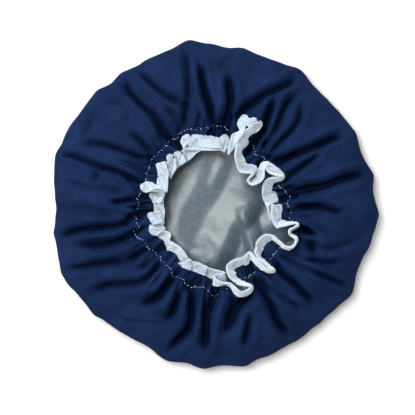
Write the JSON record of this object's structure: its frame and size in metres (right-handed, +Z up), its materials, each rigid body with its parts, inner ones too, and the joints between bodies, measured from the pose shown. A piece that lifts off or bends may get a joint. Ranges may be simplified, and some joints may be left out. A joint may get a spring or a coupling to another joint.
{
  "type": "shower cap",
  "caption": "Lined shower cap of gathered cloth with an elasticated mouth and a bound frill, lying on its crown with the mouth up.",
  "frame": {"origin": "on the surface that the cap lies on, under the middle of its outline", "axes": "+Z up out of the mouth, the cap lying on its crown; +Y towards the top of the picture"},
  "size_m": [0.2898, 0.2918, 0.0437],
  "materials": {
    "navy_cloth": "matt plain weave",
    "coated_cloth": "satin waterproof coating",
    "elastic": "matt covered elastic",
    "binding_tape": "matt",
    "thread": "matt"
  },
  "bodies": {
    "root": {"outer_cover": "navy_cloth", "waterproof_liner": "coated_cloth", "elastic_band": "elastic", "edge_binding": "binding_tape", "elastic_zigzag_thread": "thread", "binding_seam_thread": "thread"}
  },
  "joints": []
}
